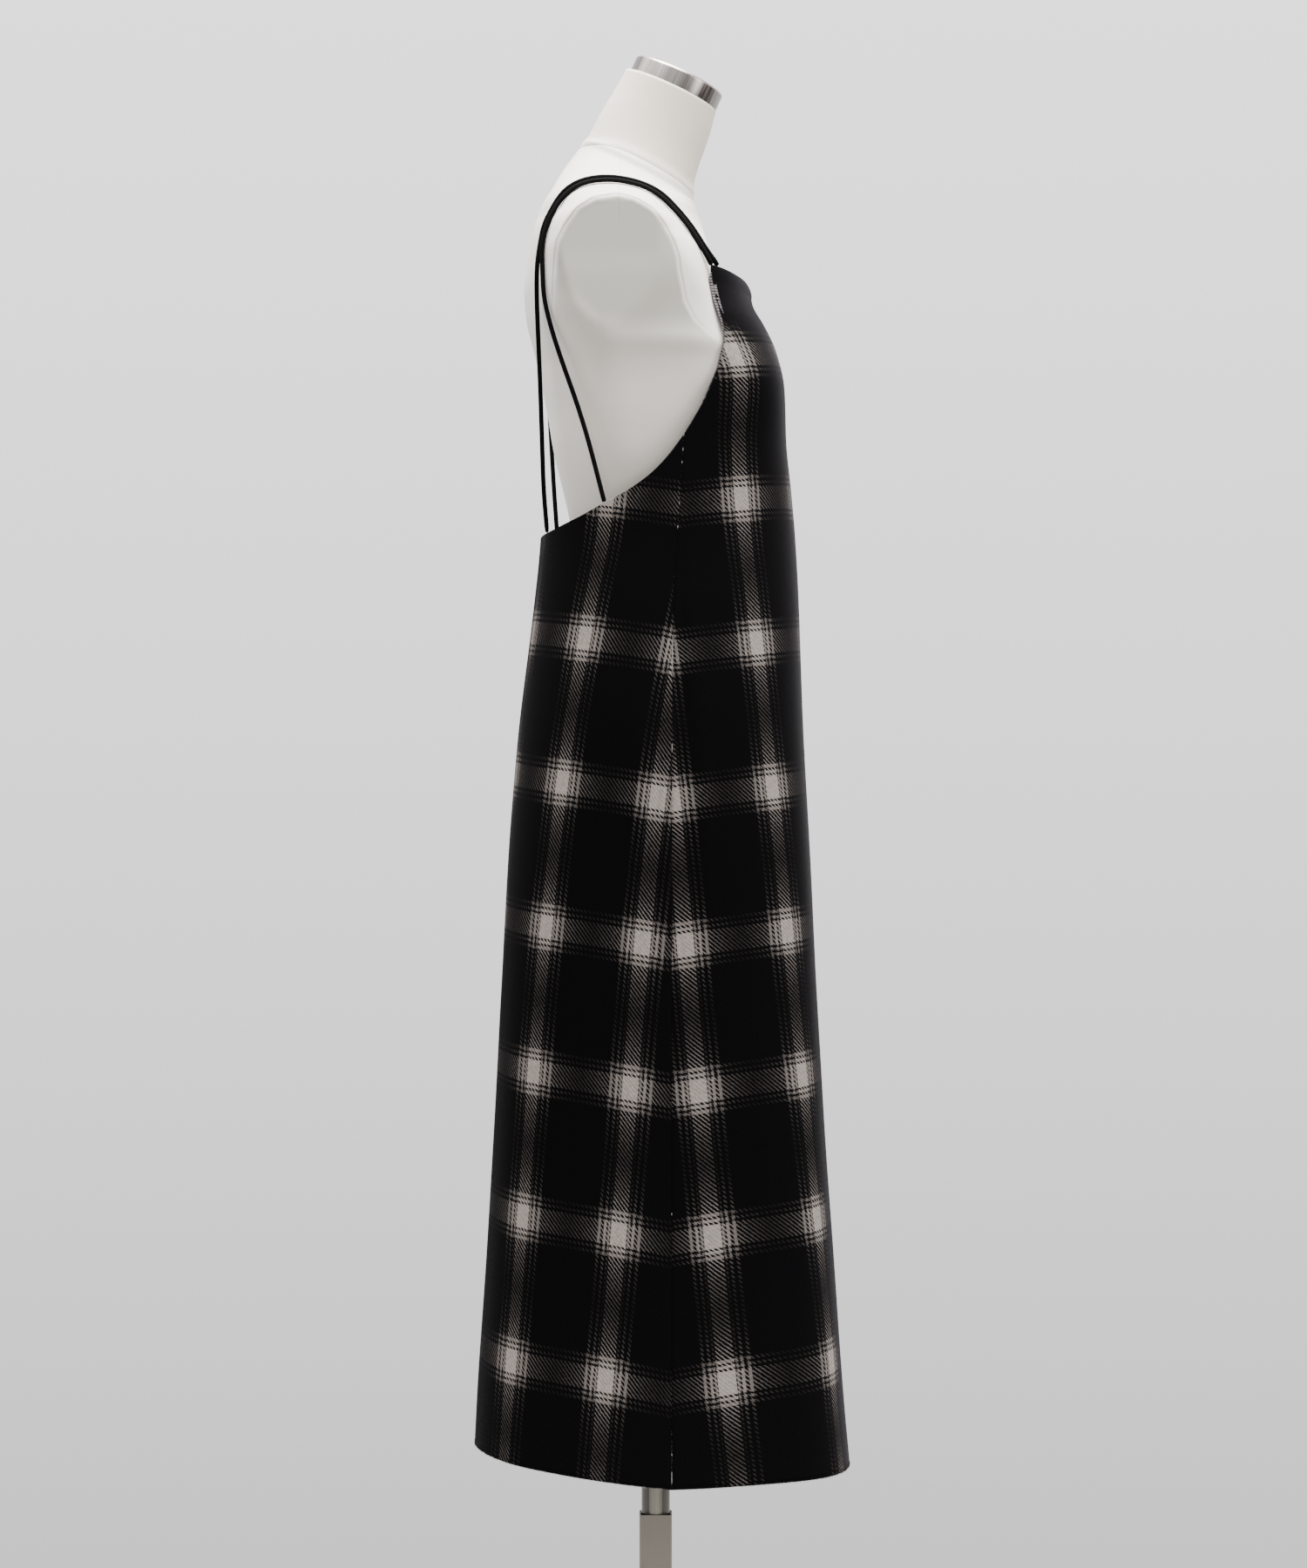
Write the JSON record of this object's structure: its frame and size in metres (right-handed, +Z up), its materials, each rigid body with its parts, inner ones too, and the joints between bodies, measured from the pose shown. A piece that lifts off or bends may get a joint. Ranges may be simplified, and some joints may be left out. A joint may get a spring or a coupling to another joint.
{
  "type": "camisole dress worn on a dress form",
  "caption": "Long black camisole dress in shadow plaid velour with thin cord straps, on a limbless dress form with a steel neck cap and a telescoping stand on a round base.",
  "frame": {"origin": "on the floor, at the centre of the base plate's underside, under the middle of the pole", "axes": "+Z is up. -Y is the front of the dress and +Y the back. -X is the wearer's right side and +X the wearer's left side."},
  "size_m": [0.3908, 0.3623, 1.6157],
  "materials": {
    "velour": "black shadow plaid velour with fine ribs",
    "cord": "matte black round cord",
    "form_cover": "smooth off-white stretch cover",
    "steel": "brushed",
    "knob_plastic": "matte"
  },
  "bodies": {
    "stand": {"base_plate": "steel", "stand_sleeve": "steel", "clamp_knob": "knob_plastic"},
    "form": {"pole": "steel", "dress_form": "form_cover", "neck_cap": "steel", "front_panel": "velour", "back_panel": "velour", "cord_right_inner": "cord", "cord_right_outer": "cord", "cord_left_inner": "cord", "cord_left_outer": "cord"}
  },
  "joints": [
    {"name": "height_slide", "type": "slide", "parent": "stand", "child": "form", "axis": [0, 0, 1], "range_m": [-0.05, 0.1]}
  ]
}
